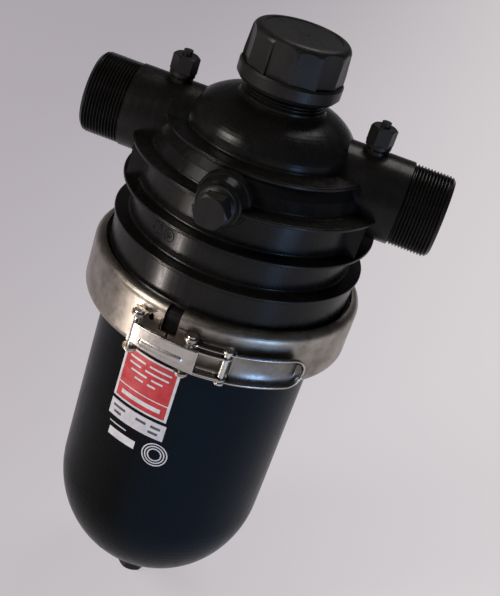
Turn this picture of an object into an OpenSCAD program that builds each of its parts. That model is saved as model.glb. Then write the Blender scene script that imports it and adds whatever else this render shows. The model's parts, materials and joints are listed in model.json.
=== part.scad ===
// Inline disc filter with a two-inch threaded manifold, a clamped bowl and a disc cartridge.
// Frame: the line of the two ports is X, the filter's own axis is Z with the screw cap up,
// and the latch and the hex plug face -Y. The origin is where the two axes cross.

/* [Manifold] */
// Distance between the two port faces
port_span = 264; // [250:2:300]
// Major diameter of the pipe thread on the ports and the neck
thread_d = 59.6; // [59.6]
// Pitch of that thread, eleven turns to the inch
thread_pitch = 2.309; // [2.309]
// Threaded length of each port
port_thread_len = 29; // [24:1:34]
// Plain diameter of the port pipes
pipe_d = 60.8; // [60:0.2:63]
// Bore of the ports, the neck and the outlet tube
bore_d = 48; // [44:1:50]
// Diameter of the smooth seat inside each port's mouth
mouth_d = 50.8; // [50:0.2:52]
// Depth of that seat
mouth_depth = 30; // [20:1:32]
// Outer diameter of the manifold wall between the ribs
wall_d = 167; // [160:1:170]
// Thickness of each stiffening rib
rib_t = 2.8; // [2:0.2:4]
// Outer diameter of the skirt above the flange
skirt_d = 184; // [182:1:186]

/* [Bowl and clamp] */
// Height of the joint between manifold and bowl, below the port axis
joint_z = -110; // [-114:1:-106]
// Outer diameter of the bowl
bowl_d = 167; // [160:1:170]
// Height where the bowl's rounded end starts
bowl_end_z = -291; // [-300:1:-270]
// Depth of the bowl's rounded end
bowl_end_h = 87; // [76:1:96]
// Wall thickness of the bowl
bowl_wall = 4.5; // [3.5:0.5:6]
// Outer diameter of the steel clamp
clamp_d = 204; // [202:1:206]
// Height of the steel clamp
clamp_h = 44; // [43:1:46]
// Thickness of the clamp's sheet steel
sheet_t = 1.8; // [1.5:0.1:2]
// Turn of the whole clamp round the filter, which sets where its latch stands
clamp_turn = -8; // [-30:1:30]

/* [Screw cap] */
// Height of the cap's flat top above the port axis
cap_top_z = 90.8; // [90:0.2:94]
// Diameter of the cap's lower collar
cap_collar_d = 74.6; // [73:0.2:76]
// Number of grip steps round the cap
cap_steps = 6; // [5:1:12]

/* [Cartridge] */
// Outer diameter of the filter discs
disc_d = 112; // [104:2:120]
// Inner diameter of the filter discs
disc_bore_d = 78; // [72:2:84]
// Number of disc packs in the stack
disc_packs = 46; // [20:1:46]
// Height of one disc pack
disc_pack_h = 5; // [5]

/* [Small parts] */
// Width across flats of the two hex plugs
plug_af = 22; // [22:1:26]
// Width across flats of the test-point caps
test_af = 17; // [15:1:19]
// Distance of each test point from the filter's axis
test_x = 73; // [70:1:78]
// Direction of the hex plug's boss round the filter's axis
boss_a = -95.5; // [-100:0.5:-85]
// Radius of the latch pins
pin_r = 2.5; // [2.5]

/* [Hidden] */
$fn = 96;
thread_r = thread_d / 2;
thread_root_r = thread_r - 0.64 * thread_pitch;
pipe_r = pipe_d / 2;
bore_r = bore_d / 2;
wall_r = wall_d / 2;
skirt_r = skirt_d / 2;
bowl_r = bowl_d / 2;
port_x = port_span / 2;
// Tops of the four ribs and their radii, from the upper one down
rib_z = [13.3, -7, -36, -64];
rib_r = [76.2, 94.6, 94.3, 94.3];
rib_edge = 0.9;
rib_root = 1.8;
// Dome above the upper rib: a quarter ellipse that starts this far out and ends at the neck
dome_x = 20;
dome_a = 41;
dome_b = 25.5;
dome_end = 73;
neck_top_z = 82;
neck_base_z = 42;
// Height of the boss's axis, and how far from the filter's axis it starts and ends
boss_z = -7;
boss_root = 80;
boss_end = 96;
mouth_r = mouth_d / 2;
// Direction of the cap's first grip step
cap_first_step = 7;
plug_thread_r = 10.4;
plug_bore_r = 10.8;
running = 0.05;
clamp_r = clamp_d / 2;
clamp_top_z = joint_z + clamp_h / 2;
clamp_bot_z = joint_z - clamp_h / 2;
flange_gap = 0.5;
flange_r = clamp_r - sheet_t - flange_gap;
flange_top_z = clamp_top_z - sheet_t - flange_gap;
flange_bot_z = clamp_bot_z + sheet_t + flange_gap;
clamp_corner = 6.8;
flange_corner = clamp_corner - sheet_t - flange_gap;
lip_r = clamp_r - clamp_corner;
lower_lip_r = bowl_r + 3.5;
hinge_y = clamp_r + 5.5;
// Latch pins: radius from the filter axis and angle round it, before the clamp is turned
lever_pin = [clamp_r + 6, -80.5];
link_pin = [clamp_r + 7, -66.4];
keeper_pin_at = [clamp_r + 6, -102.3];
latch_z = joint_z - 3.9;
lever_h = 24.2;
lever_wall = 1.6;
link_z = latch_z - 0.6;
link_h = 18.8;
// Small round hole through the band beside the keeper pin: angle and height
band_hole = [-98.2, joint_z + 9];
band_hole_r = 2.2;
bowl_bottom_z = bowl_end_z - bowl_end_h;
drain_boss_h = 9;
bowl_taper = 1;
label_t = 0.3;
label_sink = 0.1;
stack_top_z = -68;
stack_bot_z = stack_top_z - disc_packs * disc_pack_h;
plate_h = 5;
spring_top_z = stack_bot_z - plate_h;
spring_h = 18;
washer_h = 2;

// Points of an arc about [cx, cy]
function arc(cx, cy, r, a0, a1, n = 12) =
  [for (i = [0:n]) let (a = a0 + (a1 - a0) * i / n) [cx + r * cos(a), cy + r * sin(a)]];

// Points of a quarter of an ellipse, from [r, z] straight down to [0, z - h]
function end_curve(r, z, h, n = 24) =
  [for (i = [0:n]) let (a = 90 * i / n) [max(0, r * cos(a)), z - h * sin(a)]];

// Ring-shaped turns of a V thread, as [radius, height] points going up
function thread_turns(r_out, r_root, z0, pitch, turns) =
  [for (i = [0:turns - 1]) each let (z = z0 + i * pitch) [
    [r_root, z], [r_out, z + 0.42 * pitch], [r_out, z + 0.58 * pitch], [r_root, z + pitch]
  ]];

// A point at radius p[0] and angle p[1] round the filter's axis
function polar(p) = [p[0] * cos(p[1]), p[0] * sin(p[1]), 0];

// A curved bar of rectangular section round the filter's axis
module sector(r0, r1, z0, z1, a0, a1) {
  rotate([0, 0, a0])
    rotate_extrude(angle = a1 - a0)
      translate([r0, z0]) square([r1 - r0, z1 - z0]);
}

// An upright round bar at a latch pin's place
module upright(p, r, z0, z1) {
  translate(polar(p) + [0, 0, z0]) cylinder(r = r, h = z1 - z0);
}

// Stands its child on the axis of the hex plug's boss, at a distance from the filter's axis
module along_boss(out) {
  rotate([0, 0, boss_a]) translate([out, 0, boss_z]) rotate([0, 90, 0]) rotate([0, 0, 90]) children();
}

// Turns its child with the clamp
module turned() {
  rotate([0, 0, clamp_turn]) children();
}

// A round seal ring lying flat
module seal_ring(r, section_r, z) {
  translate([0, 0, z]) rotate_extrude() translate([r, 0]) circle(r = section_r, $fn = 24);
}

// A hexagonal prism standing on z = 0 with chamfered top corners
module hex_head(af, h, chamfer = 1.2) {
  intersection() {
    cylinder(d = af / cos(30), h = h, $fn = 6);
    rotate_extrude() polygon([
      [0, 0], [af / 2 + 3, 0], [af / 2 + 3, h - 2 * chamfer - 0.6], [af / 2 - 0.4, h], [0, h]
    ]);
  }
}

// Threaded hex plug: head above z = 0, threaded shank below it
module hex_plug(af, shank_len) {
  turns = 6;
  pitch = 1.814;
  rotate_extrude() polygon(concat(
    [[0, 0], [0, -shank_len], [plug_thread_r - 1.6, -shank_len]],
    thread_turns(plug_thread_r, plug_thread_r - 1.1, -shank_len + 1, pitch, turns),
    [[plug_thread_r - 1.1, 0]]
  ));
  // Ribbed collar between the seal and the head
  collar = 4.8;
  rotate_extrude() polygon(concat(
    [[0, 0]],
    thread_turns(af / 2 + 1.6, af / 2 + 0.6, 0, collar / 3, 3),
    [[0, collar]]
  ));
  translate([0, 0, collar]) hex_head(af, 10);
}

/* ---- Manifold ---- */

// One rib with rounded outer edges, and a fillet where its top meets the wall above it
function rib_step(i, r_above, r_below) = concat(
  [[r_below, rib_z[i] - rib_t]],
  arc(rib_r[i] - rib_edge, rib_z[i] - rib_t + rib_edge, rib_edge, -90, 0, 4),
  arc(rib_r[i] - rib_edge, rib_z[i] - rib_edge, rib_edge, 0, 90, 4),
  arc(r_above + rib_root, rib_z[i] + rib_root, rib_root, -90, -180, 4)
);

function manifold_outline() = concat(
  [[0, joint_z], [flange_r, joint_z]],
  arc(flange_r - flange_corner, flange_top_z - flange_corner, flange_corner, 0, 90, 8),
  [[skirt_r + 1, flange_top_z], [skirt_r, flange_top_z + 1.5]],
  rib_step(3, wall_r, skirt_r),
  rib_step(2, wall_r, wall_r),
  rib_step(1, wall_r - 3, wall_r),
  [[wall_r - 6, rib_z[0] - rib_t - 8]],
  rib_step(0, dome_x + dome_a, wall_r - 12),
  [for (i = [0:14]) let (a = dome_end * i / 14)
    [dome_x + dome_a * cos(a), rib_z[0] + rib_root + 1 + dome_b * sin(a)]],
  [[pipe_r, neck_base_z], [0, neck_base_z]]
);

function cavity_outline() = concat(
  [[0, joint_z - 1], [skirt_r - 7, joint_z - 1], [skirt_r - 7, -74], [wall_r - 5, -66]],
  [[wall_r - 5, -12], [wall_r - 16, 3], [57, 12]],
  arc(42, 16, 15, 0, 72, 10),
  [[bore_r, 34], [0, 34]]
);

// The hex plug's boss: a low ring on the wall, a tapered body and a rounded rim
function boss_outline() = let (len = boss_end - boss_root) concat(
  [[0, 0], [19.6, 0], [19.2, 4.8], [18.6, 5.6], [17.6, 5.8]],
  [[15.8, len - 3.2], [16.2, len - 2.6], [16.2, len - 1], [15.2, len], [0, len]]
);

// Outside of one port along its own axis, from the filter's axis outwards
module port_outside() {
  turns = floor(port_thread_len / thread_pitch);
  start = port_x - turns * thread_pitch - 1;
  rotate_extrude() polygon(concat(
    [[0, 0], [pipe_r, 0], [pipe_r, start - 1.5], [thread_root_r, start - 0.4]],
    thread_turns(thread_r, thread_root_r, start, thread_pitch, turns - 1),
    [[thread_r - 0.6, port_x - 2.2], [thread_root_r - 1.4, port_x], [0, port_x]]
  ));
}

module neck_outside() {
  turns = floor((neck_top_z - neck_base_z - 3) / thread_pitch);
  rotate_extrude() polygon(concat(
    [[0, 30], [pipe_r, 30], [pipe_r, neck_base_z + 1.5], [thread_root_r, neck_base_z + 2.5]],
    thread_turns(thread_r, thread_root_r, neck_base_z + 2.6, thread_pitch, turns - 1),
    [[thread_root_r, neck_top_z], [0, neck_top_z]]
  ));
}

// Small uprights that tie the second rib to the wall beside each port
module port_gussets() {
  length = 16;
  thickness = 2.4;
  beside = 36;
  for (sx = [-1, 1], sy = [-1, 1])
    translate([sx * (wall_r - 6) - length / 2, sy * beside - thickness / 2, rib_z[2] - 1])
      cube([length, thickness, rib_z[1] - rib_z[2]]);
}

module manifold() {
  color([0.07, 0.07, 0.075])
  difference() {
    union() {
      difference() {
        union() {
          rotate_extrude() polygon(manifold_outline());
          for (a = [-90, 90]) rotate([0, a, 0]) port_outside();
          neck_outside();
          along_boss(boss_root) rotate_extrude() polygon(boss_outline());
          port_gussets();
          for (sx = [-1, 1]) translate([sx * test_x, 0, 0]) cylinder(r = 8.5, h = pipe_r + 1.5);
        }
        rotate_extrude() polygon(cavity_outline());
      }
      // Outlet elbow inside: a horizontal tube to one port and an upright one to the cartridge
      rotate([0, 90, 0]) cylinder(r = bore_r + 4, h = wall_r - 2);
      translate([0, 0, -58]) cylinder(r = bore_r + 4, h = 58);
      translate([-bore_r - 4, 0, 0]) rotate([0, 90, 0]) cylinder(r = bore_r + 4, h = bore_r + 4);
      along_boss(boss_end - 26) cylinder(r = 14.5, h = 25);
    }
    translate([-bore_r, 0, 0]) rotate([0, 90, 0]) cylinder(r = bore_r, h = port_x + bore_r + 1);
    translate([0, 0, -59]) cylinder(r = bore_r, h = 59);
    translate([-port_x - 1, 0, 0]) rotate([0, 90, 0]) cylinder(r = bore_r, h = port_x - 50);
    translate([0, 0, 31]) cylinder(r = bore_r, h = neck_top_z);
    for (a = [-90, 90])
      rotate([0, a, 0]) translate([0, 0, port_x - mouth_depth]) cylinder(r = mouth_r, h = mouth_depth + 1);
    along_boss(boss_end - 30) cylinder(r = plug_bore_r, h = 31);
    for (sx = [-1, 1]) translate([sx * test_x, 0, bore_r - 2]) cylinder(r = 3, h = 12);
  }
}

/* ---- Screw cap ---- */

// Outline of grip faces, each of two flats that meet in a ridge and end in a small step
function cap_outline(r, step, n) =
  [for (i = [0:n - 1], j = [0:2])
    let (a = 360 * (i + j / 2.001) / n + cap_first_step, q = r - step + step * j / 2)
    [q * cos(a), q * sin(a)]];

module screw_cap() {
  collar_r = cap_collar_d / 2;
  collar_z = 52;
  grip_z = 62;
  grip_r = 36.8;
  // Rounded edge of the top: centre height, centre radius and radius
  edge_z = cap_top_z - 5.7;
  edge_c = 29.5;
  edge_r = 5.6;
  flat_r = 28;
  flat_drop = 0.6;
  color([0.10, 0.09, 0.09])
  difference() {
    union() {
      rotate_extrude() polygon([
        [0, collar_z], [collar_r - 2.4, collar_z], [collar_r, collar_z + 3],
        [collar_r, grip_z + 0.5], [collar_r - 1, grip_z + 2], [0, grip_z + 2]
      ]);
      intersection() {
        translate([0, 0, grip_z])
          linear_extrude(cap_top_z - grip_z + 1) polygon(cap_outline(grip_r - 0.6, 1.7, cap_steps));
        rotate_extrude() polygon(concat(
          [[0, grip_z - 1], [grip_r, grip_z - 1], [edge_c + edge_r, edge_z - 1]],
          arc(edge_c, edge_z, edge_r, 8, 78, 8),
          [[flat_r + 0.6, cap_top_z], [flat_r, cap_top_z - flat_drop], [0, cap_top_z - flat_drop]]
        ));
      }
    }
    translate([0, 0, collar_z - 2])
      cylinder(r = thread_r + 0.5, h = neck_top_z + 3.2 - collar_z + 2);
  }
}

module cap_gasket() {
  color([0.12, 0.12, 0.12])
  translate([0, 0, neck_top_z + 0.05])
    difference() {
      cylinder(r = thread_r - 0.5, h = 3);
      translate([0, 0, -1]) cylinder(r = bore_r - 2, h = 5);
    }
}

/* ---- Test points ---- */

module test_nipple(sx) {
  color([0.09, 0.09, 0.09])
  translate([sx * test_x, 0, pipe_r + 1.5])
    difference() {
      union() {
        cylinder(r = 7, h = 1.5);
        rotate_extrude() polygon(concat(
          [[0, 0], [4.2, 0], [4.2, 1.5]],
          thread_turns(4.8, 4.2, 1.8, 1, 8),
          [[3.8, 10.5], [0, 10.5]]
        ));
      }
      translate([0, 0, -1]) cylinder(r = 1.5, h = 13);
    }
}

module test_seal(sx) {
  color([0.2, 0.2, 0.2])
  translate([sx * test_x, 0, pipe_r + 12.05])
    difference() {
      cylinder(r = 4.6, h = 1);
      translate([0, 0, -1]) cylinder(r = 1.6, h = 3);
    }
}

module test_cap(sx) {
  base = pipe_r + 3.4;
  color([0.11, 0.10, 0.10])
  translate([sx * test_x, 0, base])
    difference() {
      union() {
        cylinder(r = test_af / 2 + 0.8, h = 2.5);
        translate([0, 0, 2.5]) rotate([0, 0, 12]) hex_head(test_af, 12.1, 0.9);
        cylinder(r = 3.4, h = 18.2);
      }
      translate([0, 0, -1]) cylinder(r = 5.2, h = 10.8);
    }
}

module test_nipple_left() test_nipple(-1);
module test_nipple_right() test_nipple(1);
module test_seal_left() test_seal(-1);
module test_seal_right() test_seal(1);
module test_cap_left() test_cap(-1);
module test_cap_right() test_cap(1);

/* ---- Plugs ---- */

module front_plug() {
  color([0.10, 0.10, 0.10])
  along_boss(boss_end + 1.3) hex_plug(plug_af, 15);
}

module front_plug_seal() {
  color([0.2, 0.2, 0.2])
  along_boss(boss_end + 0.05)
    difference() {
      cylinder(r = 13.4, h = 1.2);
      translate([0, 0, -1]) cylinder(r = plug_thread_r + 0.2, h = 4);
    }
}

module drain_plug() {
  color([0.10, 0.10, 0.10])
  translate([0, 0, bowl_bottom_z - drain_boss_h - 1.3]) rotate([180, 0, 15]) hex_plug(plug_af, 15);
}

module drain_plug_seal() {
  color([0.2, 0.2, 0.2])
  translate([0, 0, bowl_bottom_z - drain_boss_h - 1.25])
    difference() {
      cylinder(r = 13.4, h = 1.2);
      translate([0, 0, -1]) cylinder(r = plug_thread_r + 0.2, h = 4);
    }
}

/* ---- Bowl ---- */

module bowl() {
  inner_r = bowl_r - bowl_wall;
  color([0.05, 0.055, 0.065])
  difference() {
    union() {
      rotate_extrude() polygon(concat(
        [[0, joint_z], [flange_r, joint_z]],
        arc(flange_r - flange_corner, flange_bot_z + flange_corner, flange_corner, 0, -90, 8),
        [[bowl_r + 2, flange_bot_z], [bowl_r, flange_bot_z - 2]],
        end_curve(bowl_r - bowl_taper, bowl_end_z, bowl_end_h)
      ));
      translate([0, 0, bowl_bottom_z - drain_boss_h]) cylinder(r1 = 15.5, r2 = 24, h = drain_boss_h + 8);
    }
    rotate_extrude() polygon(concat(
      [[0, joint_z + 1], [inner_r, joint_z + 1]],
      end_curve(inner_r - bowl_taper, bowl_end_z, bowl_end_h - bowl_wall)
    ));
    translate([0, 0, bowl_bottom_z - drain_boss_h - 1]) cylinder(r = plug_bore_r, h = drain_boss_h + 14);
    // Groove for the seal between bowl and manifold
    translate([0, 0, joint_z - 2.6])
      difference() {
        cylinder(r = bowl_r + 7, h = 3.6);
        translate([0, 0, -1]) cylinder(r = bowl_r + 2.6, h = 6);
      }
  }
}

module bowl_seal() {
  color([0.13, 0.13, 0.13]) seal_ring(bowl_r + 4.8, 1.28, joint_z - 1.3);
}

/* ---- Clamp ---- */

function clamp_outline() = let (c = clamp_corner, t = sheet_t) concat(
  arc(lip_r, clamp_top_z - c, c, 90, 0, 10),
  arc(lip_r, clamp_bot_z + c, c, 0, -90, 10),
  [[lower_lip_r, clamp_bot_z], [lower_lip_r, clamp_bot_z + t]],
  arc(lip_r, clamp_bot_z + c, c - t, -90, 0, 10),
  arc(lip_r, clamp_top_z - c, c - t, 0, 90, 10)
);

module clamp_band(a0, a1) {
  rotate([0, 0, a0]) rotate_extrude(angle = a1 - a0) polygon(clamp_outline());
}

// Hinge barrels of one half: the right half has the outer pair, the left half the middle one
module hinge_barrels(sx, z0, z1) {
  difference() {
    union() {
      translate([0, hinge_y, z0]) cylinder(r = 5, h = z1 - z0);
      translate([sx > 0 ? 0 : -9, hinge_y - 5, z0]) cube([9, 2.2, z1 - z0]);
      sector(clamp_r - 0.3, clamp_r + 1.6, z0, z1, sx > 0 ? 70 : 93, sx > 0 ? 87 : 110);
    }
    translate([0, hinge_y, z0 - 1]) cylinder(r = pin_r + running, h = z1 - z0 + 2);
  }
}

// Round hole through the band and the keeper's base plate
module through_band() {
  rotate([0, 0, band_hole[0]]) translate([clamp_r - 6, 0, band_hole[1]]) rotate([0, 90, 0])
    cylinder(r = band_hole_r, h = 12);
}

module clamp_half_right() {
  color([0.62, 0.59, 0.55]) turned() {
    clamp_band(-87, 89.6);
    hinge_barrels(1, joint_z - 17, joint_z - 7);
    hinge_barrels(1, joint_z + 7, joint_z + 17);
  }
}

module clamp_half_left() {
  color([0.62, 0.59, 0.55]) turned()
  difference() {
    union() {
      clamp_band(90.4, 266.5);
      hinge_barrels(-1, joint_z - 6, joint_z + 6);
    }
    through_band();
  }
}

module clamp_hinge_pin() {
  color([0.7, 0.69, 0.66]) turned()
  translate([0, hinge_y, joint_z - 19]) {
    cylinder(r = pin_r, h = 38);
    cylinder(r = pin_r + 1.6, h = 1.6);
    translate([0, 0, 36.4]) cylinder(r = pin_r + 1.6, h = 1.6);
  }
}

/* ---- Latch ---- */

// Base plate on the band with an ear above and below, bored for an upright pin.
// Its lower part runs on across the gap between the band's ends, to tongue_a.
module latch_bracket(p, a0, a1, tongue_a) {
  top = latch_z + lever_h / 2 + 1;
  bottom = latch_z - lever_h / 2 - 1;
  ear_r = pin_r + 2.6;
  difference() {
    union() {
      sector(clamp_r - 0.2, clamp_r + 1.5, bottom - 1.5, top + 1.5, a0, a1);
      sector(clamp_r - 0.1, clamp_r + 1.4, bottom - 1, joint_z + 3,
        min(tongue_a, a0 + 1), max(tongue_a, a1 - 1));
      for (z = [bottom - 2, top]) {
        upright(p, ear_r, z, z + 2);
        rotate([0, 0, p[1]])
          translate([clamp_r + 0.6, 0.4 - ear_r, z])
          cube([p[0] - clamp_r - 0.6, 2 * ear_r - 0.8, 2]);
      }
    }
    upright(p, pin_r, bottom - 3, top + 3);
  }
}

module bracket_rivets(a) {
  for (z = [latch_z - 11, latch_z - 4])
    rotate([0, 0, a]) translate([clamp_r + 1.4, 0, z]) rotate([0, 90, 0])
      cylinder(r1 = 2.6, r2 = 1.8, h = 1.2);
}

module latch_pin(p) {
  top = latch_z + lever_h / 2 + 3;
  bottom = latch_z - lever_h / 2 - 3;
  upright(p, pin_r, bottom - 1, top + 1);
  upright(p, pin_r + 1.2, top + 0.1, top + 1.6);
  upright(p, pin_r + 1.2, bottom - 1.6, bottom - 0.1);
}

module lever_bracket() {
  color([0.6, 0.57, 0.53]) turned() latch_bracket(lever_pin, -86.4, -76, -89.9);
}

module lever_bracket_rivets() {
  color([0.72, 0.7, 0.66]) turned() bracket_rivets(-84.4);
}

module lever_pin_upright() {
  color([0.75, 0.73, 0.7]) turned() latch_pin(lever_pin);
}

module keeper_bracket() {
  color([0.6, 0.57, 0.53]) turned()
  difference() {
    latch_bracket(keeper_pin_at, -106.4, -94.2, -90.6);
    through_band();
  }
}

module keeper_bracket_rivets() {
  color([0.72, 0.7, 0.66]) turned() bracket_rivets(-97.6);
}

module keeper_pin() {
  color([0.75, 0.73, 0.7]) turned() latch_pin(keeper_pin_at);
}

// Disc across the lever's rounded tip, its axis pointing straight out from the band
module tip_disc(r, tip) {
  rotate([0, 0, tip]) translate([clamp_r - 3, 0, latch_z]) rotate([0, 90, 0]) cylinder(r = r, h = 30);
}

// Cupped lever: a curved web with a raised rim round it, forked at the pivot end
module latch_lever() {
  inner = clamp_r + 2.4;
  outer = clamp_r + 9.2;
  wall = lever_wall;
  web_start = link_pin[1] + 2.8;
  tip = -41;
  tip_len = 9;
  z0 = latch_z - lever_h / 2;
  z1 = latch_z + lever_h / 2;
  // A little more than half the height, so the rounded tip meets the rims at an angle
  tip_r = lever_h / 2 + 0.5;
  knuckle_r = 3.9;
  // Faces that would share a plane are set this far apart
  step = 0.2;
  color([0.72, 0.71, 0.7]) turned()
  difference() {
    union() {
      sector(inner, outer, z0, z1, lever_pin[1] + 4, tip + tip_len);
      upright(lever_pin, knuckle_r, z0 + step, z1 - step);
      rotate([0, 0, lever_pin[1]])
        translate([lever_pin[0] + 0.4 - knuckle_r, 0, z0 + 2 * step])
        cube([2 * knuckle_r - 0.8, 9, lever_h - 4 * step]);
    }
    sector(inner - 4, outer + 4, z0 + wall, z1 - wall, lever_pin[1] - 5, web_start);
    sector(inner + wall, outer + 1, z0 + wall + step, z1 - wall - step, web_start - 1, tip);
    intersection() {
      sector(inner + wall, outer + 2, z0 - 1, z1 + 1, tip - 0.5, tip + tip_len);
      tip_disc(tip_r - wall, tip);
    }
    difference() {
      sector(inner - 1, outer + 1, z0 - 1, z1 + 1, tip, tip + tip_len + 1);
      tip_disc(tip_r, tip);
    }
    upright(lever_pin, pin_r + running, z0 - 1, z1 + 1);
    upright(link_pin, pin_r, z0 - 1, z1 + 1);
  }
}

module link_pin_upright() {
  color([0.75, 0.73, 0.7]) turned() {
    upright(link_pin, pin_r, latch_z - lever_h / 2 - 1.6, latch_z + lever_h / 2 + 1.6);
    upright(link_pin, pin_r + 1, latch_z + lever_h / 2 + 0.1, latch_z + lever_h / 2 + 1.5);
    upright(link_pin, pin_r + 1, latch_z - lever_h / 2 - 1.5, latch_z - lever_h / 2 - 0.1);
  }
}

// Link plate with a raised rib, and two tabs that run back to eyes round its pin
module latch_link() {
  eye_r = pin_r + 1.7;
  r0 = lever_pin[0] + 4.3;
  r1 = r0 + 1.5;
  z0 = link_z - link_h / 2;
  z1 = link_z + link_h / 2;
  tab_t = 1.6;
  tab_low_z = latch_z - lever_h / 2 + lever_wall + 0.5;
  end_a = keeper_pin_at[1] - 0.4;
  color([0.66, 0.64, 0.6]) turned()
  difference() {
    union() {
      sector(r0, r1, z0, z1, end_a, lever_pin[1] + 4.2);
      // Top edge rolled back towards the band
      sector(r0 - 1.5, r0 + 0.4, z1 - 1.4, z1 - 0.1, end_a + 0.2, lever_pin[1] - 4);
      sector(r0 + 0.2, r1 + 1.1, link_z - 4.4, link_z + 0.8, end_a + 4, lever_pin[1] - 0.6);
      for (z = [tab_low_z, z1 - tab_t - 0.3]) {
        sector(link_pin[0] - eye_r + 0.4, r0 + 0.5, z, z + tab_t, lever_pin[1] + 2.6, link_pin[1]);
        upright(link_pin, eye_r, z + 0.1, z + tab_t - 0.1);
      }
    }
    upright(link_pin, pin_r + running, z0 - 1, z1 + 1);
  }
}

/* ---- Cartridge ---- */

module cartridge_spine() {
  leg_r = disc_bore_d / 2 - 5;
  color([0.1, 0.1, 0.11]) {
    difference() {
      union() {
        translate([0, 0, stack_top_z]) cylinder(r = disc_d / 2 + 1, h = 4);
        translate([0, 0, stack_top_z]) cylinder(r = bore_r - 0.4, h = 26);
      }
      translate([0, 0, stack_top_z - 1]) cylinder(r = bore_r - 4, h = 30);
      translate([0, 0, stack_top_z + 15]) difference() {
        cylinder(r = bore_r + 1, h = 4);
        translate([0, 0, -1]) cylinder(r = bore_r - 3, h = 6);
      }
    }
    for (a = [0:60:300]) rotate([0, 0, a])
      translate([leg_r - 4, -2.5, stack_bot_z + 6]) cube([8, 5, stack_top_z - stack_bot_z - 5]);
    translate([0, 0, stack_bot_z + 2]) cylinder(r = leg_r + 4, h = 5);
    translate([0, 0, spring_top_z - 38]) cylinder(r = 6, h = 46);
  }
}

// Ring of slanted vanes that sets the incoming water spinning round the discs
module helix_ring() {
  vanes = 14;
  ring_r = disc_d / 2 + 1.3;
  color([0.75, 0.78, 0.8]) {
    translate([0, 0, stack_top_z - 10])
      difference() {
        cylinder(r = ring_r + 2, h = 14);
        translate([0, 0, -1]) cylinder(r = ring_r, h = 16);
      }
    for (i = [0:vanes - 1])
      rotate([0, 0, 360 * i / vanes])
        translate([ring_r + 1, 0, stack_top_z - 3]) rotate([38, 0, 0])
          translate([0, -0.9, -7]) cube([16, 1.8, 14]);
  }
}

module spine_seal() {
  color([0.15, 0.15, 0.15]) seal_ring(bore_r - 1.7, 1.25, stack_top_z + 17);
}

// Each pack is a ring with a shallow groove at its edge, so the stack reads as many thin discs
module disc_stack() {
  color([0.55, 0.12, 0.1])
  for (i = [0:disc_packs - 1])
    translate([0, 0, stack_bot_z + i * disc_pack_h])
      difference() {
        cylinder(d = disc_d, h = disc_pack_h - 0.1);
        translate([0, 0, -1]) cylinder(d = disc_bore_d, h = disc_pack_h + 2);
      }
}

module cartridge_end_plate() {
  color([0.12, 0.12, 0.13])
  translate([0, 0, spring_top_z])
    difference() {
      cylinder(r = disc_d / 2 + 1, h = plate_h - 0.1);
      translate([0, 0, -1]) cylinder(r = 6.3, h = plate_h + 2);
    }
}

// Compression spring swept along a helix, with its ends lying flat
module cartridge_spring() {
  wire = 1.5;
  turns = 4;
  steps = 20;
  sides = 8;
  coil_r = 12;
  n = turns * steps;
  z_hi = spring_top_z - wire - 0.05;
  z_lo = spring_top_z - spring_h + wire + 0.05;
  function centre(i) = let (a = 360 * i / steps, t = i / n)
    [coil_r * cos(a), coil_r * sin(a), z_hi + (z_lo - z_hi) * t];
  points = [for (i = [0:n], k = [0:sides - 1])
    let (a = 360 * i / steps, b = 360 * k / sides, c = centre(i))
    c + wire * [cos(b) * cos(a), cos(b) * sin(a), sin(b)]];
  skin = [for (i = [0:n - 1], k = [0:sides - 1])
    let (p = i * sides + k, q = i * sides + (k + 1) % sides)
    [p, p + sides, q + sides, q]];
  start = [[for (k = [0:sides - 1]) k]];
  finish = [[for (k = [sides - 1:-1:0]) n * sides + k]];
  color([0.75, 0.75, 0.76]) polyhedron(points, concat(skin, start, finish));
}

module spring_washer() {
  color([0.7, 0.7, 0.7])
  translate([0, 0, spring_top_z - spring_h - washer_h])
    difference() {
      cylinder(r = 15, h = washer_h);
      translate([0, 0, -1]) cylinder(r = 6.5, h = washer_h + 2);
    }
}

module cartridge_nut() {
  color([0.12, 0.12, 0.13])
  translate([0, 0, spring_top_z - spring_h - washer_h - 14])
    difference() {
      union() {
        cylinder(r = 11, h = 13.9);
        for (a = [0, 90]) rotate([0, 0, a]) translate([-20, -2.5, 0]) cube([40, 5, 10]);
      }
      translate([0, 0, -1]) cylinder(r = 6.4, h = 17);
    }
}

/* ---- Labels, all without lettering ---- */

// Radius of the bowl's outside at a height on its straight, slightly tapered wall
function bowl_at(z) = bowl_r - bowl_taper * (z - flange_bot_z + 2) / (bowl_end_z - flange_bot_z + 2);

module bowl_label(z0, z1, a0, a1) {
  rotate([0, 0, a0])
    rotate_extrude(angle = a1 - a0)
      polygon([
        [bowl_at(z0) - label_sink, z0], [bowl_at(z0) + label_t, z0],
        [bowl_at(z1) + label_t, z1], [bowl_at(z1) - label_sink, z1]
      ]);
}

module notice_panel() {
  color([0.85, 0.18, 0.2]) bowl_label(-191, -145, -122, -89.2);
}

module grade_strip() {
  color([0.9, 0.9, 0.9]) bowl_label(-208, -194, -122, -88.2);
}

module ring_badge() {
  color([0.12, 0.12, 0.13]) bowl_label(-232.5, -210.5, -97.6, -82.4);
}

manifold();
screw_cap();
cap_gasket();
test_nipple_left();
test_seal_left();
test_cap_left();
test_nipple_right();
test_seal_right();
test_cap_right();
front_plug();
front_plug_seal();
bowl();
bowl_seal();
drain_plug();
drain_plug_seal();
clamp_half_right();
clamp_half_left();
clamp_hinge_pin();
lever_bracket();
lever_bracket_rivets();
lever_pin_upright();
latch_lever();
link_pin_upright();
latch_link();
keeper_bracket();
keeper_bracket_rivets();
keeper_pin();
helix_ring();
cartridge_spine();
spine_seal();
disc_stack();
cartridge_end_plate();
cartridge_spring();
spring_washer();
cartridge_nut();
notice_panel();
grade_strip();
ring_badge();
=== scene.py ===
import json
import math

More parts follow.
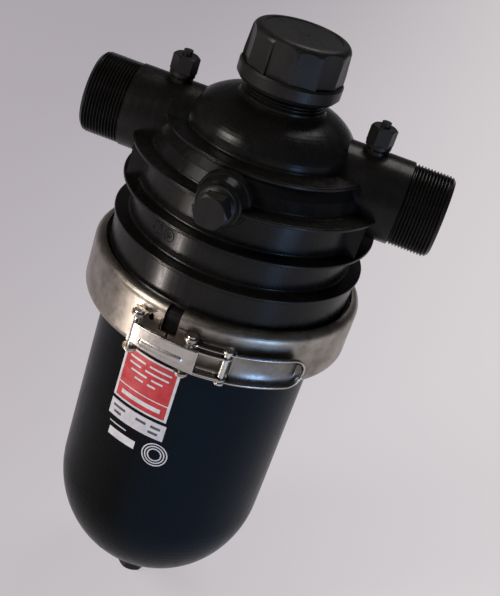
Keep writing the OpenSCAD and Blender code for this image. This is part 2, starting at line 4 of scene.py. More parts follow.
import bmesh
import bpy
from mathutils import Matrix, Vector


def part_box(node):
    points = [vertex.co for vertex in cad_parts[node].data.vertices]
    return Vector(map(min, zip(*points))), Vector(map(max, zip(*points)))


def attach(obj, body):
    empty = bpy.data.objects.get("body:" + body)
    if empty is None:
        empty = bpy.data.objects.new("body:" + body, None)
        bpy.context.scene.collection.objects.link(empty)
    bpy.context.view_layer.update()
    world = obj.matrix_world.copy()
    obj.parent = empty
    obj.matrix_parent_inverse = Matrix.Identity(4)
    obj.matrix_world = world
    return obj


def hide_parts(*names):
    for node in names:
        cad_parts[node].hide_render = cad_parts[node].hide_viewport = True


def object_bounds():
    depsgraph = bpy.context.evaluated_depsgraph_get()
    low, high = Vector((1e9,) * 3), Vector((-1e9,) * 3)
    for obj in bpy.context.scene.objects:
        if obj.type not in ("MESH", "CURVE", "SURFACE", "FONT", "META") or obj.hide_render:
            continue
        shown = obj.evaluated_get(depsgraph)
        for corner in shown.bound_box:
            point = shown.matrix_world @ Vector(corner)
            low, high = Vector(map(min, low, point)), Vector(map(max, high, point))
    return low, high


MM = 0.001
# Points closer than this are one point
SAME_POINT = 1e-7

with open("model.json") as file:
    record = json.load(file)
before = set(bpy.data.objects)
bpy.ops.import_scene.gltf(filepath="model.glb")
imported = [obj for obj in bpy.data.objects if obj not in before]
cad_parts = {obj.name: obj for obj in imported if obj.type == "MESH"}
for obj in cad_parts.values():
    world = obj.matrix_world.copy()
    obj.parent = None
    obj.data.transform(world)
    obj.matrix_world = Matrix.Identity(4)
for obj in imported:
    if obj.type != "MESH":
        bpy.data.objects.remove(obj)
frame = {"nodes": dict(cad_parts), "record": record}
cad_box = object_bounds()


# ---- Places and sizes, read from the frame ----

def node_box(name):
    """Lowest and highest corner of a CAD node's box, in metres."""
    lo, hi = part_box(name)
    return Vector(lo), Vector(hi)


CAP_HI = node_box("screw_cap")[1]
LABEL_LO, LABEL_HI = node_box("notice_panel")
STRIP_LO, STRIP_HI = node_box("grade_strip")
BADGE_LO, BADGE_HI = node_box("ring_badge")
FLOOR_Z = cad_box[0][2]
# Manifold wall between the two lower ribs: its radius and a height on it
WALL_R = 83.5 * MM
MARKS_Z = -50.5 * MM


# ---- Looks, light and camera ----

FLOOR_GAP = 0.5 * MM
FLOOR_SIZE = 9.0
# The floor's own colour, and its soft glow, which grows over this stretch of X
FLOOR_PALE = (0.2, 0.195, 0.205)
GLOW_FADE = (-0.5, 0.5)
GLOW_LEFT = (0.35, 0.325, 0.355)
GLOW_RIGHT = (0.62, 0.59, 0.6)
# Painted navy sheen on the bowl's front right, a painted reflection: its direction round the axis,
# where it fades in, and its colour
PAINTED_SHEEN_ANGLE = -52
PAINTED_SHEEN_FADE = (0.045, 0.082)
PAINTED_SHEEN_NAVY = (0.0036, 0.0085, 0.0145)
# Colours of the lights, and the strength of the surround
WARM = (1.0, 0.95, 0.88)
WINDOW = (1.0, 0.9, 0.84)
BLUE = (0.3, 0.55, 1.0)
NEUTRAL = (1.0, 0.98, 0.96)
WORLD_STRENGTH = 0.36
# Point on the manifold's skirt that the narrow window light shows in: radius, angle, height
SKIRT_SPOT = (0.092, -114, -0.08)
# Camera: angles in degrees, place in metres, focal length as a share of the picture's height
CAMERA_AZIMUTH = 6.13
CAMERA_ELEVATION = 29.62
CAMERA_ROLL = 18.07
CAMERA_PLACE = Vector((0.0797, -0.7715, 0.3065))
FOCAL_SHARE = 1.95034
SENSOR = 36.0
SHIFT_X = 0.067
SHIFT_Y = 0.017


def polar(radius, degrees, z=0.0):
    """Point at a distance from the filter's axis, an angle from +X round it, and a height."""
    a = math.radians(degrees)
    return Vector((radius * math.cos(a), radius * math.sin(a), z))


# ---- Material building ----

def new_material(name):
    """New material with its node tree and its Principled shader."""
    mat = bpy.data.materials.new(name)
    mat.use_nodes = True
    tree = mat.node_tree
    shader = next(n for n in tree.nodes if n.type == "BSDF_PRINCIPLED")
    return mat, tree, shader


def add_node(tree, kind, **values):
    """New node with its named inputs or settings filled in."""
    node = tree.nodes.new(kind)
    for key, value in values.items():
        if key in node.inputs:
            node.inputs[key].default_value = value
        else:
            setattr(node, key, value)
    return node


def coords(tree, scale=(1, 1, 1)):
    """Object coordinates in metres, stretched by a scale."""
    source = add_node(tree, "ShaderNodeTexCoord")
    mapping = add_node(tree, "ShaderNodeMapping")
    mapping.inputs["Scale"].default_value = scale
    tree.links.new(source.outputs["Object"], mapping.inputs["Vector"])
    return mapping.outputs["Vector"]


def noise(tree, vector, scale, detail=4.0, roughness=0.55):
    """Noise texture's factor, its scale per metre."""
    node = add_node(tree, "ShaderNodeTexNoise", Scale=scale, Detail=detail, Roughness=roughness)
    tree.links.new(vector, node.inputs["Vector"])
    return node.outputs["Fac"]


def ramp(tree, factor, stops):
    """Colour ramp with (place, colour) stops."""
    node = add_node(tree, "ShaderNodeValToRGB")
    elements = node.color_ramp.elements
    while len(elements) < len(stops):
        elements.new(0.5)
    for element, (place, colour) in zip(elements, stops):
        element.position = place
        element.color = (*colour, 1)
    tree.links.new(factor, node.inputs["Fac"])
    return node.outputs["Color"]


def grey(value):
    """Neutral colour of one value."""
    return (value, value, value)


def spread(tree, factor, low, high, start=0.3, end=0.7):
    """Smooth change from low to high while the factor goes from start to end."""
    node = add_node(tree, "ShaderNodeMapRange", interpolation_type="SMOOTHSTEP")
    node.inputs["From Min"].default_value = start
    node.inputs["From Max"].default_value = end
    node.inputs["To Min"].default_value = low
    node.inputs["To Max"].default_value = high
    tree.links.new(factor, node.inputs["Value"])
    return node.outputs["Result"]


def blend_colour(tree, factor, low, high):
    """Colour between two others; each may be a plain colour or another node's output."""
    mix = add_node(tree, "ShaderNodeMix", data_type="RGBA")
    tree.links.new(factor, mix.inputs[0])
    for socket, colour in ((mix.inputs[6], low), (mix.inputs[7], high)):
        if isinstance(colour, tuple):
            socket.default_value = (*colour, 1)
        else:
            tree.links.new(colour, socket)
    return mix.outputs[2]


def along(tree, direction):
    """Distance of each point along a direction, from the object's own origin."""
    node = add_node(tree, "ShaderNodeVectorMath", operation="DOT_PRODUCT")
    tree.links.new(coords(tree), node.inputs[0])
    node.inputs[1].default_value = direction
    return node.outputs["Value"]


def bump(tree, shader, height, distance, strength, after=None):
    """Adds a bump layer, on top of an earlier one if that is given."""
    node = add_node(tree, "ShaderNodeBump", Strength=strength, Distance=distance)
    tree.links.new(height, node.inputs["Height"])
    if after is not None:
        tree.links.new(after, node.inputs["Normal"])
    tree.links.new(node.outputs["Normal"], shader.inputs["Normal"])
    return node.outputs["Normal"]


def plastic(name, dark, light, rough, specular=0.5):
    """Moulded plastic: cloudy colour, fine grain, faint wipe marks and dust specks."""
    mat, tree, shader = new_material(name)
    at = coords(tree)
    cloud_scale, speck_scale, wave_scale, grain_scale = 22, 900, 45, 1400
    dust_grey = 0.035
    wave_height, grain_height = 0.4 * MM, 0.04 * MM
    base = ramp(tree, noise(tree, at, cloud_scale, 6), [(0.32, dark), (0.72, light)])
    specks = noise(tree, at, speck_scale, 2)
    dust = ramp(tree, specks, [(0.66, grey(0.0)), (0.78, grey(dust_grey))])
    mix = add_node(tree, "ShaderNodeMix", data_type="RGBA", blend_type="ADD")
    mix.inputs[0].default_value = 1.0
    tree.links.new(base, mix.inputs[6])
    tree.links.new(dust, mix.inputs[7])
    tree.links.new(mix.outputs[2], shader.inputs["Base Color"])
    wipes = noise(tree, coords(tree, (60, 60, 14)), 3, 5)
    tree.links.new(spread(tree, wipes, *rough), shader.inputs["Roughness"])
    waves = bump(tree, shader, noise(tree, at, wave_scale, 2), wave_height, 0.1)
    bump(tree, shader, noise(tree, at, grain_scale, 3), grain_height, 0.2, waves)
    shader.inputs["Specular IOR Level"].default_value = specular
    return mat


def steel(name, dark, light, rough, stretch=(30, 30, 600)):
    """Satin stainless sheet: fine drawn lines, stains and small scratches."""
    mat, tree, shader = new_material(name)
    at = coords(tree)
    stain_scale, dent_scale, mark_scale = 38, 40, 260
    stains = noise(tree, at, stain_scale, 6, 0.62)
    tree.links.new(ramp(tree, stains, [(0.3, dark), (0.6, light)]), shader.inputs["Base Color"])
    shader.inputs["Metallic"].default_value = 1.0
    drawn = noise(tree, coords(tree, stretch), 6, 5, 0.6)
    marks = noise(tree, at, mark_scale, 5, 0.7)
    mix = add_node(tree, "ShaderNodeMath", operation="MULTIPLY")
    tree.links.new(drawn, mix.inputs[0])
    tree.links.new(marks, mix.inputs[1])
    tree.links.new(spread(tree, mix.outputs[0], *rough, 0.12, 0.4), shader.inputs["Roughness"])
    lines = bump(tree, shader, drawn, 0.05 * MM, 0.1)
    dents = bump(tree, shader, noise(tree, at, dent_scale, 3), 0.6 * MM, 0.12, lines)
    bump(tree, shader, marks, 0.06 * MM, 0.12, dents)
    return mat


def rubber(name, colour):
    """Matt black rubber with a fine grain."""
    mat, tree, shader = new_material(name)
    fine = noise(tree, coords(tree), 700, 4)
    paler = tuple(c * 1.7 for c in colour)
    tree.links.new(ramp(tree, fine, [(0.3, colour), (0.7, paler)]), shader.inputs["Base Color"])
    tree.links.new(spread(tree, fine, 0.7, 0.9), shader.inputs["Roughness"])
    bump(tree, shader, fine, 0.1 * MM, 0.4)
    return mat


def film(name, colour):
    """Printed label film: even ink with slight mottling, scuffs and a soft gloss."""
    mat, tree, shader = new_material(name)
    at = coords(tree)
    mottle = noise(tree, at, 120, 5)
    paler = tuple(min(1, c * 1.12 + 0.02) for c in colour)
    darker = tuple(c * 0.86 for c in colour)
    tree.links.new(ramp(tree, mottle, [(0.3, darker), (0.7, paler)]), shader.inputs["Base Color"])
    tree.links.new(spread(tree, noise(tree, at, 60, 4), 0.22, 0.4), shader.inputs["Roughness"])
    bump(tree, shader, noise(tree, at, 500, 3), 0.05 * MM, 0.25)
    return mat


def add_painted_navy_sheen(mat):
    """Paints a faint navy sheen into the front right of the bowl's colour: a painted reflection."""
    tree = mat.node_tree
    shader = next(n for n in tree.nodes if n.type == "BSDF_PRINCIPLED")
    base = shader.inputs["Base Color"].links[0].from_socket
    # Navy mixed in on the side that faces this angle: painted sheen
    side = spread(tree, along(tree, tuple(polar(1.0, PAINTED_SHEEN_ANGLE))), 0.0, 1.0, *PAINTED_SHEEN_FADE)
    tree.links.new(blend_colour(tree, side, base, PAINTED_SHEEN_NAVY), shader.inputs["Base Color"])
    return mat


MATERIALS = {
    "housing": plastic(
        "housing_plastic", (0.004, 0.0038, 0.0038), (0.0095, 0.0085, 0.008), (0.22, 0.34), 0.16),
    # The bowl's colour carries a painted navy sheen on its front right
    "bowl": add_painted_navy_sheen(plastic(
        "bowl_plastic", (0.0024, 0.0026, 0.003), (0.0042, 0.0045, 0.0052), (0.24, 0.32), 0.05)),
    "cap": plastic(
        "cap_plastic", (0.006, 0.0054, 0.005), (0.013, 0.0112, 0.0105), (0.34, 0.5), 0.22),
    "seal": rubber("seal_rubber", (0.012, 0.012, 0.012)),
    "steel": steel("clamp_steel", (0.18, 0.158, 0.134), (0.37, 0.335, 0.29), (0.3, 0.46)),
    "latch": steel("latch_steel", (0.36, 0.335, 0.3), (0.54, 0.51, 0.47), (0.24, 0.38)),
    # The lever's cup and fork take a darker copy of the latch steel: painted shade
    "cup": steel("cup_steel_painted_shade", (0.1, 0.092, 0.084), (0.23, 0.215, 0.2), (0.24, 0.38)),
    "pin": steel("pin_steel", (0.42, 0.4, 0.37), (0.62, 0.6, 0.56), (0.2, 0.36), (60, 60, 60)),
    "discs": plastic("disc_plastic", (0.22, 0.03, 0.02), (0.34, 0.05, 0.03), (0.4, 0.55)),
    "cartridge": plastic("cartridge_plastic", (0.02, 0.02, 0.022), (0.04, 0.04, 0.043), (0.4, 0.55)),
    "helix": plastic("helix_plastic", (0.5, 0.53, 0.56), (0.62, 0.65, 0.68), (0.35, 0.5)),
    "label": film("label_red", (0.42, 0.017, 0.022)),
    "strip": film("strip_white", (0.5, 0.49, 0.52)),
    "badge": film("badge_dark", (0.009, 0.0095, 0.012)),
    "ink_white": film("ink_white", (0.55, 0.54, 0.56)),
    "ink_grey": film("ink_grey", (0.05, 0.05, 0.06)),
}


def dress_cad_nodes():
    """Gives every CAD node the material of its slot."""
    slot_of = {part["node"]: part["material_slot"] for part in frame["record"]["subparts"]}
    for name, obj in frame["nodes"].items():
        obj.data.materials.clear()
        obj.data.materials.append(MATERIALS[slot_of[name]])


# ---- Mesh building ----

def finish_piece(name, bm, material, body):
    """Turns a mesh in progress into a smooth piece that rides on a body."""
    mesh = bpy.data.meshes.new(name)
    bm.to_mesh(mesh)
    bm.free()
    obj = bpy.data.objects.new(name, mesh)
    bpy.context.scene.collection.objects.link(obj)
    mesh.materials.append(MATERIALS[material])
    for face in mesh.polygons:
        face.use_smooth = True
    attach(obj, body)
    return obj


def quad_strip(bm, rows, closed=False):
    """Joins rows of points into faces; every row has the same number of points."""
    made = [[bm.verts.new(p) for p in row] for row in rows]
    for above, below in zip(made, made[1:]):
        count = len(above) if closed else len(above) - 1
        for i in range(count):
            j = (i + 1) % len(above)
            bm.faces.new((above[i], above[j], below[j], below[i]))
    return made


def swept(bm, outline, a0, a1, steps=48):
    """Sweeps a closed outline of (radius, height) points round the filter's axis, with flat ends."""
    rows = []
    for i in range(steps + 1):
        a = a0 + (a1 - a0) * i / steps
        rows.append([polar(r, a, z) for r, z in outline])
    made = quad_strip(bm, rows, closed=True)
    bm.faces.new(made[0][::-1])
    bm.faces.new(made[-1])


def rounded_box(r0, r1, z0, z1, edge, steps=4):
    """Outline of a rectangle in radius and height with rounded corners."""
    points = []
    corners = ((r1 - edge, z1 - edge, 0), (r0 + edge, z1 - edge, 90), (r0 + edge, z0 + edge, 180),
               (r1 - edge, z0 + edge, 270))
    for cr, cz, start in corners:
        for i in range(steps + 1):
            a = math.radians(start + 90 * i / steps)
            points.append((cr + edge * math.cos(a), cz + edge * math.sin(a)))
    return points


def turn(sides):
    """Angles in radians, spaced evenly round a full turn."""
    return [math.tau * k / sides for k in range(sides)]


def tube(bm, path, radius, sides=10, closed=False):
    """Round bar along a list of points."""
    # Where the path runs nearly upright, the bar's cross-section is turned by the axis instead
    nearly_upright = 0.2
    rows = []
    last = len(path) - 1
    for i, point in enumerate(path):
        before = path[i - 1] if i > 0 or closed else path[0]
        after = path[(i + 1) % len(path)] if i < last or closed else path[last]
        ahead = (after - before).normalized()
        side = ahead.cross(Vector((0, 0, 1)))
        if side.length < nearly_upright:
            side = ahead.cross(point.normalized())
        side.normalize()
        other = ahead.cross(side).normalized()
        rows.append([
            point + radius * (side * math.cos(t) + other * math.sin(t)) for t in turn(sides)
        ])
    if closed:
        rows.append(rows[0])
    made = quad_strip(bm, rows, closed=True)
    if closed:
        bmesh.ops.remove_doubles(bm, verts=made[0] + made[-1], dist=SAME_POINT)
    else:
        bm.faces.new(made[0][::-1])
        bm.faces.new(made[-1])


def ring_rows(place, rings, sides):
    """Rows of points round an upright axis at a place, one row for each (radius, height)."""
    return [
        [Vector((place.x + r * math.cos(t), place.y + r * math.sin(t), z)) for t in turn(sides)]
        for r, z in rings
    ]


def post(bm, place, radius, z0, z1):
    """Upright turned bar with chamfered ends."""
    edge = 0.4 * MM
    rings = ((radius - edge, z0), (radius, z0 + edge), (radius, z1 - edge), (radius - edge, z1))
    rows = ring_rows(place, rings, 28)
    made = quad_strip(bm, rows, closed=True)
    bm.faces.new(made[0][::-1])
    bm.faces.new(made[-1])


# ---- Printed graphics on the bowl, all without lettering ----

def bowl_radius(z):
    """Outer radius of the printed film at a height, from the two labels' own boxes."""
    top = (LABEL_HI.z, -LABEL_LO.y)
    low = (STRIP_HI.z, -STRIP_LO.y)
    return top[1] + (z - top[0]) * (top[1] - low[1]) / (top[0] - low[0])


def label_span(lo, hi):
    """Angles round the axis, in degrees, between which a label lies."""
    r = bowl_radius(hi.z)
    return [-math.degrees(math.acos(max(-1, min(1, x / r)))) for x in (lo.x, hi.x)]


def print_patches(name, lo, hi, patches, material):
    """Thin curved patches of ink; each patch is (u0, v0, u1, v1) as shares of the label's box."""
    lift = 0.06 * MM
    a0, a1 = label_span(lo, hi)
    bm = bmesh.new()
    for u0, v0, u1, v1 in patches:
        z0, z1 = lo.z + v0 * (hi.z - lo.z), lo.z + v1 * (hi.z - lo.z)
        steps = max(2, int(30 * (u1 - u0)))
        rows = []
        for z in (z0, z1):
            rows.append([
                polar(bowl_radius(z) + lift, a0 + (a1 - a0) * (u0 + (u1 - u0) * i / steps), z)
                for i in range(steps + 1)
            ])
        quad_strip(bm, rows)
    finish_piece(name, bm, material, "housing")


def bars(v0, v1, spans):
    """A row of bars between two heights, one for each span."""
    return [(u0, v0, u1, v1) for u0, u1 in spans]


def make_panel_print():
    """White border, divider and rows of plain bars on the panel."""
    edge_u, edge_v = 0.045, 0.035
    border = [(0, 0, 1, edge_v), (0, 1 - edge_v, 1, 1), (0, edge_v, edge_u, 1 - edge_v),
              (1 - edge_u, edge_v, 1, 1 - edge_v)]
    divider = [(edge_u, 0.29, 1 - edge_u, 0.31)]
    rows = (
        bars(0.84, 0.875, ((0.12, 0.42), (0.5, 0.88)))
        + bars(0.73, 0.765, ((0.14, 0.36), (0.44, 0.86)))
        + bars(0.62, 0.655, ((0.2, 0.5), (0.58, 0.78)))
        + bars(0.51, 0.545, ((0.3, 0.46), (0.54, 0.68)))
        + bars(0.12, 0.2, ((0.14, 0.86),))
    )
    print_patches("panel_border", LABEL_LO, LABEL_HI, border + divider, "ink_white")
    print_patches("panel_bars", LABEL_LO, LABEL_HI, rows, "ink_white")


def make_strip_print():
    """Short grey bars on the pale strip."""
    marks = bars(0.58, 0.74, ((0.06, 0.3), (0.5, 0.68), (0.76, 0.92)))
    marks += bars(0.22, 0.38, ((0.1, 0.24), (0.74, 0.9)))
    print_patches("strip_bars", STRIP_LO, STRIP_HI, marks, "ink_grey")


def ring_patch(bm, a_mid, z_mid, r0, r1):
    """Flat ring wrapped on the bowl round a point."""
    rows = []
    for radius in (r0, r1):
        row = []
        for t in turn(48):
            z = z_mid + radius * math.sin(t)
            body_r = bowl_radius(z)
            row.append(polar(body_r, a_mid + math.degrees(radius * math.cos(t) / body_r), z))
        rows.append(row)
    quad_strip(bm, rows, closed=True)


def make_ring_mark():
    """Three plain rings in the badge's place, and two plain bars beside them."""
    a0, a1 = label_span(BADGE_LO, BADGE_HI)
    a_mid = (a0 + a1) / 2
    z_mid = (BADGE_LO.z + BADGE_HI.z) / 2
    outer = (BADGE_HI.z - BADGE_LO.z) / 2 * 0.93
    # Width of each ring, as a share of the outer ring's radius
    band = 0.1
    bm = bmesh.new()
    for share in (1.0, 0.78, 0.56):
        ring_patch(bm, a_mid, z_mid, outer * (share - band), outer * share)
    mark = finish_piece("ring_mark", bm, "ink_white", "housing")
    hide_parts("ring_badge")
    width = math.degrees(30 * MM / -LABEL_LO.y)
    beside = a0 - 1.5
    steps = 12
    bm = bmesh.new()
    for z0, z1, start, end in ((-3.5, 3.5, 0.12, 0.95), (7.5, 8.5, 0.45, 1.0)):
        rows = []
        for z in (z_mid + z0 * MM, z_mid + z1 * MM):
            rows.append([
                polar(bowl_radius(z), beside - width * (start + (end - start) * i / steps), z)
                for i in range(steps + 1)
            ])
        quad_strip(bm, rows)
    finish_piece("plain_bars", bm, "ink_white", "housing")


# ---- Latch ----

def pin_place(name):
    """(radius, angle) of an upright pin round the filter's axis."""
    lo, hi = node_box(name)
    mid = (lo + hi) / 2
    return math.hypot(mid.x, mid.y), math.degrees(math.atan2(mid.y, mid.x))


LEVER_PIN = pin_place("lever_pin_upright")
LINK_PIN = pin_place("link_pin_upright")
KEEPER_PIN = pin_place("keeper_pin")
LEVER_LO, LEVER_HI = node_box("latch_lever")
LINK_LO, LINK_HI = node_box("latch_link")
LEVER_OUT = LINK_PIN[0] + 2.2 * MM
LEVER_IN = LINK_PIN[0] - 4.6 * MM
LEVER_MID_Z = (LEVER_LO.z + LEVER_HI.z) / 2
LEVER_HALF = (LEVER_HI.z - LEVER_LO.z) / 2
LEVER_TIP = -math.degrees(math.acos(LEVER_HI.x / LEVER_OUT))
CUP_START = LINK_PIN[1] + 2.9
ROUND_FROM = LEVER_TIP - math.degrees(LEVER_HALF / LEVER_OUT)


def thicken(piece, thickness):
    """Gives a one-sided sheet its real thickness."""
    shell = piece.modifiers.new("shell", "SOLIDIFY")
    shell.thickness = thickness
    shell.offset = 1.0


def lever_half_height(angle):
    """Half the lever's height at an angle: constant, then a round end."""
    if angle <= ROUND_FROM:
        return LEVER_HALF
    beyond = math.radians(angle - ROUND_FROM) * LEVER_OUT
    return math.sqrt(max(0.0, LEVER_HALF ** 2 - beyond ** 2))


def make_lever_cup():
    """Spoon-shaped cup of the lever, its depth fading out towards the round end."""
    depth = 5.6 * MM
    rim = 0.7 * MM
    set_back = 0.4 * MM
    fade, fade_power = 1.5, 0.8
    squareness = 3.2
    count, across = 64, 28
    bm = bmesh.new()
    rows = []
    for i in range(count + 1):
        share = math.sin(math.pi / 2 * i / count)
        angle = CUP_START + (LEVER_TIP - CUP_START) * share
        half = max(lever_half_height(angle) - rim, 0.05 * MM)
        deep = depth * min(1.0, half / LEVER_HALF * fade) ** fade_power
        row = []
        for k in range(across + 1):
            v = math.sin(math.pi / 2 * (2 * k / across - 1))
            fall = math.sqrt(max(0.0, 1 - abs(v) ** squareness))
            row.append(polar(LEVER_OUT - set_back - deep * fall, angle, LEVER_MID_Z + v * half))
        rows.append(row)
    quad_strip(bm, rows)
    # The cup's darker steel is painted shade
    cup = finish_piece("lever_cup", bm, "cup", "lever")
    thicken(cup, 1.1 * MM)
    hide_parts("latch_lever")


def make_lever_rim():
    """Bright rolled edge that runs along the top, round the end and back along the bottom."""
    rim = 0.85 * MM
    start = LEVER_PIN[1] + 2.4
    end = LEVER_TIP - 0.3
    out_r = LEVER_OUT - rim
    steps = 60
    top, low = [], []
    for i in range(steps + 1):
        angle = start + (end - start) * math.sin(math.pi / 2 * i / steps)
        half = max(lever_half_height(angle) - rim, 0)
        top.append(polar(out_r, angle, LEVER_MID_Z + half))
        low.append(polar(out_r, angle, LEVER_MID_Z - half))
    bm = bmesh.new()
    tube(bm, top + low[::-1][1:], rim)
    finish_piece("lever_rim", bm, "latch", "lever")


def make_lever_fork():
    """The two cheeks that carry the pins, a low bar at the cup's start and a ledge below it."""
    wall = 1.5 * MM
    low_z = LEVER_LO.z + wall
    high_z = LEVER_HI.z - wall
    inner = LEVER_IN + 0.4 * MM
    bm = bmesh.new()
    for z0 in (LEVER_LO.z + 0.1 * MM, high_z - 0.1 * MM):
        cheek = rounded_box(inner, LEVER_OUT - 0.3 * MM, z0, z0 + wall, 0.4 * MM)
        swept(bm, cheek, LEVER_PIN[1] + 0.5, CUP_START + 0.6, 30)
        post(bm, polar(*LEVER_PIN), 3.8 * MM, z0, z0 + wall)
    bar = rounded_box(inner, inner + wall, low_z, high_z, 0.5 * MM)
    swept(bm, bar, CUP_START - 0.25, CUP_START + 0.75, 6)
    ledge = rounded_box(
        LEVER_IN + 1.2 * MM, LEVER_OUT - 1.6 * MM, low_z - 0.3 * MM, low_z + 0.5 * MM, 0.3 * MM)
    swept(bm, ledge, LEVER_PIN[1] + 7.5, CUP_START, 18)
    # The fork shares the cup's darker steel, painted shade
    finish_piece("lever_fork", bm, "cup", "lever")


def end_round(distance, radius):
    """How far a rounded end falls back at a distance from that end."""
    into = max(0.0, 1 - distance / radius)
    return radius * (1 - math.sqrt(max(0.0, 1 - into ** 2)))


def link_profile(z0, z1, roll):
    """Upright flat face whose top edge rolls back, as (setback, height) points."""
    flat_steps, roll_steps = 40, 7
    profile = [(0.0, z0 + (z1 - roll - z0) * k / flat_steps) for k in range(flat_steps + 1)]
    for k in range(1, roll_steps + 1):
        t = math.pi / 2 * k / roll_steps
        profile.append((-roll * (1 - math.cos(t)), z1 - roll + roll * math.sin(t)))
    profile.append((-roll - 0.6 * MM, z1 - 0.05 * MM))
    return profile


def make_link_plate():
    """Sheet link, narrower at its keeper end, with rounded edges and a long pressed rib."""
    face_r = LEVER_PIN[0] + 5.7 * MM
    roll = 1.5 * MM
    a0, a1 = KEEPER_PIN[1] - 0.35, LEVER_PIN[1] + 4.15
    length = math.radians(a1 - a0) * face_r
    z1 = LINK_HI.z
    taper = 3.6 * MM
    rib_z = z1 - 11.2 * MM
    rib_half = 2.7 * MM
    rib_height = 1.2 * MM
    # Share of the link's length from its middle to each end of the rib's straight part
    rib_reach = 0.27
    count = 110
    bm = bmesh.new()
    rows = []
    for i in range(count + 1):
        u = i / count
        angle = a0 + (a1 - a0) * u
        z0 = LINK_LO.z + taper * (1 - u)
        back = end_round(u * length, 3.0 * MM) + end_round((1 - u) * length, 1.0 * MM)
        beyond = max(0.0, abs(u - 0.5) - rib_reach) * length
        row = []
        for dr, z in link_profile(z0, z1, roll):
            away = math.hypot(beyond, z - rib_z) / rib_half
            rib = rib_height * math.sqrt(max(0.0, 1 - away ** 2))
            row.append(polar(face_r + dr - back + rib, angle, z))
        rows.append(row)
    quad_strip(bm, rows)
    plate = finish_piece("link_plate", bm, "latch", "link")
    thicken(plate, 1.3 * MM)
    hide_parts("latch_link")


def make_link_eyes():
    """Two tabs from the link plate back to eyes round the link pin."""
    tab = 1.4 * MM
    low_z = LEVER_LO.z + 2.2 * MM
    bm = bmesh.new()
    for z in (low_z, LINK_HI.z - tab - 0.4 * MM):
        strip = rounded_box(
            LINK_PIN[0] - 3.4 * MM, LEVER_PIN[0] + 4.6 * MM, z, z + tab, 0.35 * MM)
        swept(bm, strip, LEVER_PIN[1] + 2.8, LINK_PIN[1], 16)
        post(bm, polar(*LINK_PIN), 4.1 * MM, z, z + tab)
    finish_piece("link_eyes", bm, "latch", "link")


def make_pin_washers():
    """A thin washer under the upper head of the lever's and the keeper's pin."""
    inner, outer = 3.75 * MM, 4.2 * MM
    # (radius, depth below the head's top) round the washer's edge
    edge = ((inner, 2.6 * MM), (outer, 2.4 * MM), (outer, 2.0 * MM), (inner, 1.8 * MM))
    washers = (
        ("lever_pin_upright", LEVER_PIN, "clamp_right"),
        ("keeper_pin", KEEPER_PIN, "clamp_left"),
    )
    for name, pin, body in washers:
        head_z = node_box(name)[1].z
        rows = ring_rows(polar(*pin), [(r, head_z - depth) for r, depth in edge], 32)
        bm = bmesh.new()
        quad_strip(bm, rows + rows[:1], closed=True)
        bmesh.ops.remove_doubles(bm, verts=bm.verts[:], dist=SAME_POINT)
        finish_piece(name + "_washer", bm, "pin", body)


# ---- Small moulded details ----

def make_cap_lip():
    """Fine raised lip round the cap's flat top and a small plain ring in its middle."""
    thick = 1.0 * MM
    steps = 96
    bm = bmesh.new()
    # Inner and outer radius, and height above the cap's own rim
    for r0, r1, height in ((27.7 * MM, 28.9 * MM, 0.02 * MM), (2.2 * MM, 3.6 * MM, -0.25 * MM)):
        top = CAP_HI.z + height
        outline = rounded_box(r0, r1, top - thick, top, 0.4 * MM)
        rows = [[polar(r, 360 * i / steps, z) for r, z in outline] for i in range(steps + 1)]
        quad_strip(bm, rows, closed=True)
    bmesh.ops.remove_doubles(bm, verts=bm.verts[:], dist=SAME_POINT)
    finish_piece("cap_lip", bm, "cap", "cap_turn")


def on_wall(angle, across, up, lift=0.0):
    """Point of the manifold's wall, a distance across and up from a mark's middle."""
    return polar(WALL_R + lift, angle + math.degrees(across / WALL_R), MARKS_Z + up)


def make_mould_marks():
    """Two plain rings, one of them with spokes, low on the manifold's wall."""
    plain_at, spoked_at = -124.5, -116.5
    ring_r = 4.4 * MM
    spoke = 2.6 * MM
    bar = 0.35 * MM
    spokes = 3
    bm = bmesh.new()
    for angle in (plain_at, spoked_at):
        ring = [on_wall(angle, ring_r * math.cos(t), ring_r * math.sin(t)) for t in turn(36)]
        tube(bm, ring, bar, 8, closed=True)
    for k in range(spokes):
        t = math.pi * k / spokes + 0.3
        ends = [
            on_wall(spoked_at, side * spoke * math.cos(t), side * spoke * math.sin(t), 0.05 * MM)
            for side in (-1, 1)
        ]
        tube(bm, ends, bar, 6)
    finish_piece("mould_marks", bm, "housing", "housing")


# ---- Stage, light and camera ----

def make_floor():
    """Plain pale floor just below the lowest point of the filter."""
    bm = bmesh.new()
    bmesh.ops.create_grid(bm, x_segments=2, y_segments=2, size=FLOOR_SIZE)
    mesh = bpy.data.meshes.new("floor")
    bm.to_mesh(mesh)
    bm.free()
    obj = bpy.data.objects.new("floor", mesh)
    bpy.context.scene.collection.objects.link(obj)
    obj.location = (0, 0, FLOOR_Z - FLOOR_GAP)
    mesh.materials.append(floor_paint())


def floor_paint():
    """Pale matt paint with a soft glow that grows slowly from left to right."""
    mat, tree, shader = new_material("floor_paint")
    across = spread(tree, along(tree, (1, 0, 0)), 0.0, 1.0, *GLOW_FADE)
    cloud = noise(tree, coords(tree), 1.6, 4)
    pale = ramp(tree, cloud, [(0.3, tuple(c * 0.94 for c in FLOOR_PALE)), (0.7, FLOOR_PALE)])
    tree.links.new(pale, shader.inputs["Base Color"])
    glow = blend_colour(tree, across, GLOW_LEFT, GLOW_RIGHT)
    tree.links.new(glow, shader.inputs["Emission Color"])
    shader.inputs["Emission Strength"].default_value = 1.0
    shader.inputs["Roughness"].default_value = 0.8
    shader.inputs["Specular IOR Level"].default_value = 0.1
    return mat


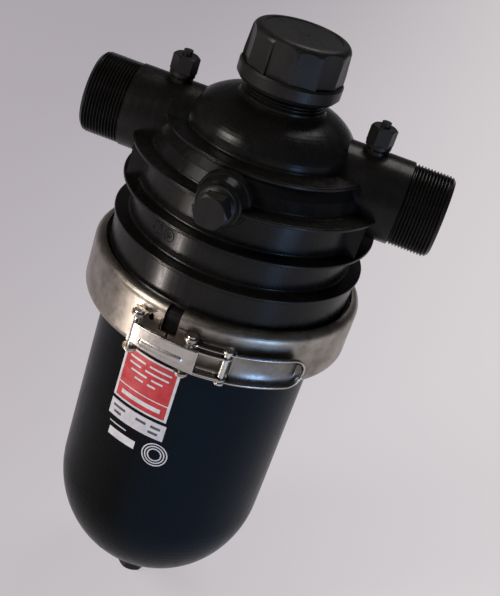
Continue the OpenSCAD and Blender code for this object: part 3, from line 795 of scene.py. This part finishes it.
def make_light(name, place, target, size, power, colour, beam=180):
    """Soft rectangular light, unseen itself; size is (width, height) and beam an angle."""
    data = bpy.data.lights.new(name, "AREA")
    data.shape = "RECTANGLE"
    data.size, data.size_y = size
    data.energy = power
    data.color = colour
    data.spread = math.radians(beam)
    obj = bpy.data.objects.new(name, data)
    bpy.context.scene.collection.objects.link(obj)
    obj.location = place
    obj.rotation_euler = (Vector(target) - Vector(place)).to_track_quat("-Z", "Y").to_euler()
    obj.visible_camera = False


def make_world():
    """Soft studio surround: pale round the horizon and below, darker overhead."""
    world = bpy.data.worlds.new("studio")
    bpy.context.scene.world = world
    world.use_nodes = True
    tree = world.node_tree
    back = tree.nodes["Background"]
    source = add_node(tree, "ShaderNodeTexCoord")
    split = add_node(tree, "ShaderNodeSeparateXYZ")
    tree.links.new(source.outputs["Generated"], split.inputs["Vector"])
    height = spread(tree, split.outputs["Z"], 0.0, 1.0, -1.0, 1.0)
    sky = ramp(tree, height, [
        (0.0, (0.5, 0.49, 0.53)), (0.53, (0.6, 0.58, 0.63)), (0.68, (0.16, 0.155, 0.165)),
        (1.0, (0.12, 0.12, 0.125)),
    ])
    tree.links.new(sky, back.inputs["Color"])
    back.inputs["Strength"].default_value = WORLD_STRENGTH


def make_lights():
    """Warm key from the front left, narrow window strip, faint blue from the right, soft fill."""
    middle = (0, 0, -0.15)
    upper = (0, 0, -0.05)
    # Places are (distance from the filter's axis, angle round it, height)
    make_light("key", polar(1.6, -140, 0.75), upper, (0.55, 0.55), 22, WARM)
    make_light(
        "window", polar(0.58, -136, -0.345), polar(*SKIRT_SPOT), (0.018, 0.09), 0.11, WINDOW, 60)
    make_light("blue", polar(0.95, -40, -0.2), middle, (0.2, 0.42), 2.4, BLUE)
    make_light("fill", polar(1.0, 80, 1.7), middle, (0.9, 0.9), 12, NEUTRAL)


def make_camera():
    """Camera at the photograph's own angles, rolled with it."""
    a = math.radians(CAMERA_AZIMUTH)
    e = math.radians(CAMERA_ELEVATION)
    r = math.radians(CAMERA_ROLL)
    back = Vector((math.sin(a) * math.cos(e), -math.cos(a) * math.cos(e), math.sin(e)))
    right = Vector((math.cos(a), math.sin(a), 0))
    up = back.cross(right)
    turned_right = right * math.cos(r) + up * math.sin(r)
    turned_up = up * math.cos(r) - right * math.sin(r)
    data = bpy.data.cameras.new("camera")
    data.sensor_fit = "AUTO"
    data.sensor_width = SENSOR
    data.lens = FOCAL_SHARE * SENSOR
    data.shift_x = SHIFT_X
    data.shift_y = SHIFT_Y
    obj = bpy.data.objects.new("camera", data)
    bpy.context.scene.collection.objects.link(obj)
    obj.matrix_world = Matrix((
        (turned_right.x, turned_up.x, back.x, CAMERA_PLACE.x),
        (turned_right.y, turned_up.y, back.y, CAMERA_PLACE.y),
        (turned_right.z, turned_up.z, back.z, CAMERA_PLACE.z),
        (0, 0, 0, 1),
    ))
    bpy.context.scene.camera = obj


bpy.context.scene.view_settings.view_transform = "Standard"
dress_cad_nodes()
make_panel_print()
make_strip_print()
make_ring_mark()
make_lever_cup()
make_lever_rim()
make_lever_fork()
make_link_plate()
make_link_eyes()
make_pin_washers()
make_cap_lip()
make_mould_marks()
make_floor()
make_world()
make_lights()
make_camera()
